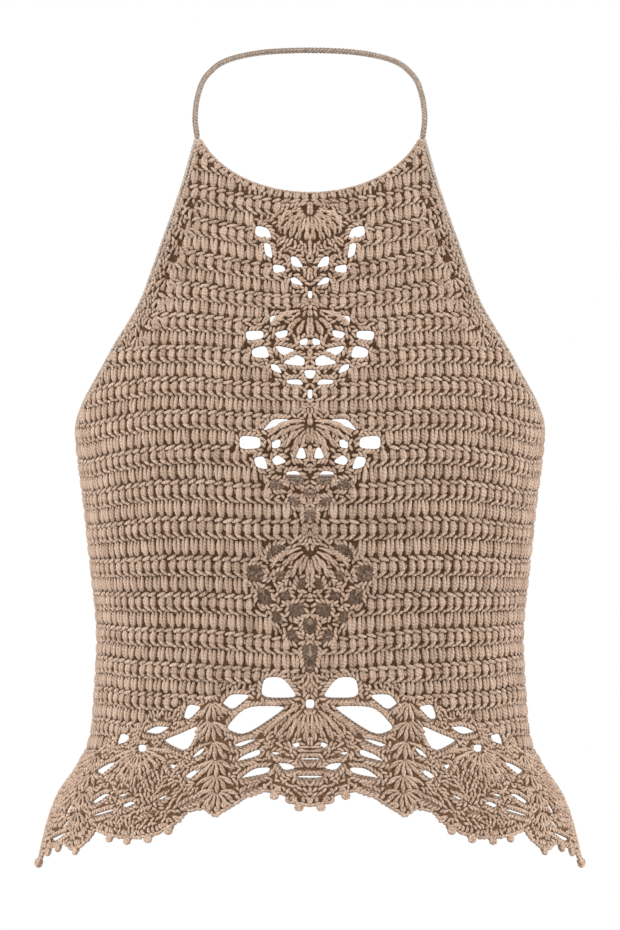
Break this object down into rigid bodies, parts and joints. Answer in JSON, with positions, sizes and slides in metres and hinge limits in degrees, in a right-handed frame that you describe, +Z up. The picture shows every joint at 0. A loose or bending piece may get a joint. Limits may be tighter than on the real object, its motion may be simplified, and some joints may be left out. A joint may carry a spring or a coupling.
{
  "type": "crocheted halter top",
  "caption": "Crocheted halter top, filled out as worn, with a lace column down the front, a flared lace hem with points and a cord round the neck.",
  "frame": {"origin": "the nape: the inner face of the neck strap at its middle, where the wearer's neck holds the garment up", "axes": "+Z up, the front of the garment towards -Y, +X to the right of a viewer who faces the front"},
  "size_m": [0.363, 0.2221, 0.5457],
  "materials": {
    "rows_yarn": "matt cotton yarn",
    "lace_yarn": "matt cotton yarn",
    "edge_yarn": "matt cotton yarn"
  },
  "bodies": {
    "root": {"front": "rows_yarn", "back": "rows_yarn", "hem_lace_front": "lace_yarn", "hem_lace_back": "lace_yarn", "neck_edging": "edge_yarn", "top_edging": "edge_yarn", "neck_strap": "edge_yarn"}
  },
  "joints": []
}
